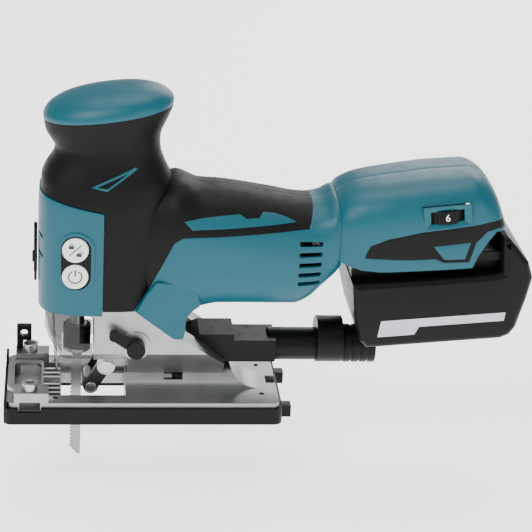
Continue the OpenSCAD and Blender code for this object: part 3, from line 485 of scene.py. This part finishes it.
# ---- Inlays ----
# Thin teal and black pieces let into the grip and the motor housing.
def patch(name, form_skin, outline, grow, shade, side, hole=None, thickness=0.8, bevel=0.15):
    bm = form_skin(grow)
    bmesh.ops.bisect_plane(bm, geom=bm.verts[:] + bm.edges[:] + bm.faces[:], plane_co=(0, 0, 0), plane_no=(0, -side, 0),
                           clear_outer=True)
    score(bm, outline)
    if hole:
        score(bm, hole)
    keep(bm, lambda x, y, z: in_outline(x, z, outline) and not (hole and in_outline(x, z, hole)))
    return piece(name, bm, shade, "tool", thickness=thickness, bevel=bevel)


motor_inlay = [(61.4, 131.2), (66.2, 126.2), (128.4, 130.2), (122.1, 132.8), (115.1, 134.8), (108.2, 135.4), (105.7, 132.8), (98.3, 132.6),
               (94.1, 135), (84, 134.4), (72, 133)]
arrow = [(6.8, 150.5), (32.4, 161.8), (33.6, 160.8), (15.9, 148.4)]
arrow_eye = [(10.3, 150.7), (28.2, 158.6), (16.2, 149.8)]
for side, word in ((-1, "left"), (1, "right")):
    patch(f"motor_inlay_{word}", motor_skin, motor_inlay, 0.25, finish["teal_plastic"], side)
    patch(f"grip_arrow_{word}", grip_skin, arrow, 0.25, finish["teal_plastic"], side, arrow_eye)
    patch(f"arrow_eye_{word}", grip_skin, arrow_eye, 0.05, finish["black_plastic"], side)
    rim_outline = [(-1.4 + 10.9 * math.sin(a), z + 10.9 * math.cos(a)) for z, start in ((112.5, -90), (95.6, 90))
                   for a in (math.radians(start + k * 15) for k in range(13))]
    patch(f"window_rim_{word}", grip_skin, rim_outline, 1.15, finish["teal_plastic"], side, window, 1.6, 0.45)


# ---- Turned parts ----
# Buttons, pins and screw heads are round; each button here is a profile of radius and height turned about its axis.
def turned(profile, centre, axis="y", n=48):
    rings = []
    for r, h in profile:
        ring = []
        for k in range(n):
            a = 2 * math.pi * k / n
            p, q = r * math.cos(a), r * math.sin(a)
            place = {"x": (h, p, q), "y": (p, h, q), "z": (p, q, h)}[axis]
            ring.append(tuple(c + d for c, d in zip(centre, place)))
        rings.append(ring)
    return loft(rings, (True, True))


def arc(x, z, r0, r1, start, stop, n=20):
    a = [math.radians(start + (stop - start) * k / n) for k in range(n + 1)]
    return [(x + r1 * math.sin(t), z + r1 * math.cos(t)) for t in a] + [(x + r0 * math.sin(t), z + r0 * math.cos(t)) for t in a[::-1]]


# Round white buttons with a shallow dish and printed symbols: padlocks above, power below.
for side, word in ((-1, "left"), (1, "right")):
    for key, z in (("lock", 112.5), ("power", 95.6)):
        face = 30.9 * side
        bm = turned([(7.75, -4.5 * side), (7.75, -0.5 * side), (7.6, -0.15 * side), (7.2, 0), (6.2, 0), (5.6, -0.12 * side), (0.2, -0.2 * side)],
                    (-1.9, face, z))
        piece(f"{key}_key_{word}", bm, finish["white_plastic"], f"{key}_{word}", f"{key}_button_{word}", angle=60)
        depth = (face - 0.35 * side, face + 0.05 * side)
        x = -1.9
        if key == "power":
            shapes = [arc(x, z, 3.5, 4.2, 28, 332, 40), [(x - 0.4, z + 0.6), (x + 0.4, z + 0.6), (x + 0.4, z + 4.4), (x - 0.4, z + 4.4)]]
        else:
            shapes = [[(x - 3.9, z - 3.4), (x - 3.5, z - 3.7), (x + 3.9, z + 3.4), (x + 3.5, z + 3.7)]]
            for cx, cz, swing in ((x - 2.4, z + 0.9, 0), (x + 2.2, z - 3.9, 25)):
                shapes.append([(cx - 1.5, cz), (cx + 1.5, cz), (cx + 1.5, cz + 2.1), (cx - 1.5, cz + 2.1)])
                shapes.append(arc(cx + (1.2 if swing else 0), cz + 2.2, 0.75, 1.15, -90 - swing * 0, 90, 12))
        bm = joined([prism(shape, depth) for shape in shapes])
        piece(f"{key}_symbol_{word}", bm, print_black, f"{key}_{word}")


# ---- Softened parts ----
# Cast, moulded and stamped parts keep their own form, with the edges broken as on the real ones.
def softened(node, width, angle=30, shade=None):
    bm = bmesh.new()
    bm.from_mesh(frame["nodes"][node].data)
    bmesh.ops.remove_doubles(bm, verts=bm.verts, dist=2e-6)
    bmesh.ops.dissolve_limit(bm, angle_limit=math.radians(0.8), verts=bm.verts, edges=bm.edges)
    return piece(f"{node}_finished", bm, shade or finish[slot_of[node]], body_of[node], node, bevel=width, angle=angle)


for node, width in (("sole_cover", 0.7), ("base_plate", 0.35), ("fence_screws", 0.4), ("wrench_holder", 0.6), ("gear_housing", 0.4),
                    ("lever_bracket", 0.3), ("dust_nozzle", 0.45), ("orbital_lever", 0.7), ("release_lever", 0.5),
                    ("blade_clamp", 0.3), ("clamp_collar", 0.4), ("switch_panel_left", 0.3), ("switch_panel_right", 0.3),
                    ("speed_dial", 0.15), ("battery_button", 0.6), ("roller_pin", 0.3), ("dust_cover", 0.4)):
    softened(node, width)

# ---- Battery case ----
# A two-part black nylon case with rounded edges, rails on its top and a release button at the rear.
outline = [(0.4, -0.3), (1.0, -20), (4.2, -38), (8, -42.6), (14, -43), (90, -43), (96, -41), (100, -36), (106.5, -17), (110, -4), (107.5, 6),
           (100, 17), (94, 24.6), (91.2, 24), (91, 1), (86, -0.2)]
bm = prism(outline, (-37.5, 37.5), on_rails)
rim_edges = [e for e in bm.edges if abs(abs(e.verts[0].co.y) - 0.0375) < 1e-6 and abs(e.verts[0].co.y - e.verts[1].co.y) < 1e-6]
bmesh.ops.bevel(bm, geom=rim_edges, offset=4.5 * MM, segments=5, profile=0.5, affect="EDGES", material=-1)
case = piece("battery_case", bm, finish["black_plastic"], "battery", "battery_case_lower", bevel=1.2, angle=14, also=("battery_case_upper",))
neck = joined([prism([(1, -1), (92, -1), (92, 12.5), (1, 12.5)], (-25, 25), on_rails), prism([(1, 6), (92, 6), (92, 12.5), (1, 12.5)], (-28.5, 28.5), on_rails)])
piece("battery_rails", neck, finish["black_plastic"], "battery", bevel=0.5)
for side in (-1, 1):
    print_at = (37.3 * side, 37.56 * side)
    stripe = prism([(14.5, -35), (17, -24.6), (93, -24.6), (92, -30), (40, -30), (37, -35)], print_at, on_rails)
    piece("battery_stripe_" + ("left" if side < 0 else "right"), stripe, pale, "battery")

# ---- Speed dial window ----
# A chamfered teal frame let into the left rear, with the numbered edge of the dial behind it.
frame_depth = 4.2
ring_out = [Vector((x, 0, z)) for x, z in dial_outline]
ring_in = [Vector((x, 0, z)) for x, z in dial_window]
bm = bmesh.new()
outer = [bm.verts.new((p.x * MM, -36.35 * MM, p.z * MM)) for p in ring_out]
inner = [bm.verts.new((p.x * MM, -34.6 * MM, p.z * MM)) for p in ring_in]
deep = [bm.verts.new((p.x * MM, -31.5 * MM, p.z * MM)) for p in ring_in]
for a, b in ((outer, inner), (inner, deep)):
    for k in range(4):
        bm.faces.new((a[k], a[(k + 1) % 4], b[(k + 1) % 4], b[k]))
bmesh.ops.recalc_face_normals(bm, faces=bm.faces)
if bm.faces[:][0].normal.y > 0:
    bmesh.ops.reverse_faces(bm, faces=bm.faces)
piece("dial_frame", bm, finish["teal_plastic"], "tool", thickness=1.2, bevel=0.3)
curve = bpy.data.curves.new("dial_number", "FONT")
curve.body = "6"
curve.size = 0.0062
curve.extrude = 0.0001
curve.align_x = "CENTER"
curve.align_y = "CENTER"
text = bpy.data.objects.new("dial_number_text", curve)
bpy.context.scene.collection.objects.link(text)
bpy.context.view_layer.update()
mesh = bpy.data.meshes.new_from_object(text.evaluated_get(bpy.context.evaluated_depsgraph_get()))
bpy.data.objects.remove(text)
number_x, number_z = on_rails(57.5, 39)
mesh.transform(Matrix.Translation((number_x * MM, -0.03692, number_z * MM)) @ Matrix.Rotation(-batt_tilt, 4, "Y") @ Matrix.Rotation(math.radians(90), 4, "X"))
mesh.materials.clear()
mesh.materials.append(finish["white_plastic"].material)
number = bpy.data.objects.new("dial_number", mesh)
bpy.context.scene.collection.objects.link(number)
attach(number, "dial")

# ---- Scene ----
# A plain pale floor below the blade's lowest place, large soft lights and a bright surround.
floor = bmesh.new()
bmesh.ops.create_grid(floor, x_segments=1, y_segments=1, size=30)
bmesh.ops.translate(floor, verts=floor.verts, vec=(0, 0, -0.0535))
mesh = bpy.data.meshes.new("floor")
floor.to_mesh(mesh)
floor.free()
ground = bpy.data.objects.new("floor", mesh)
bpy.context.scene.collection.objects.link(ground)
ground_shade = Shade("floor")
ground_shade.set(base_color=(0.9, 0.9, 0.9, 1), roughness=0.95, emission_color=(1, 1, 1, 1), emission_strength=1.6)
mesh.materials.append(ground_shade.material)
world = bpy.data.worlds.new("surround")
bpy.context.scene.world = world
world.use_nodes = True
world.node_tree.nodes["Background"].inputs[0].default_value = (1, 1, 1, 1)
world.node_tree.nodes["Background"].inputs[1].default_value = 0.5
for name, place, size, power in (("key", (-0.55, -0.8, 1.1), 0.7, 15),
                                ("fill", (0.9, -1.2, 0.5), 0.6, 5), ("top", (0.1, 0.3, 1.4), 1.0, 12), ("back", (0.6, 1.3, 0.7), 0.8, 8)):
    lamp = bpy.data.objects.new(name, bpy.data.lights.new(name, "AREA"))
    lamp.data.energy = power
    lamp.data.size = size
    lamp.location = place
    lamp.rotation_euler = (Vector((0.1, 0, 0.1)) - Vector(place)).to_track_quat("-Z", "Y").to_euler()
    bpy.context.scene.collection.objects.link(lamp)
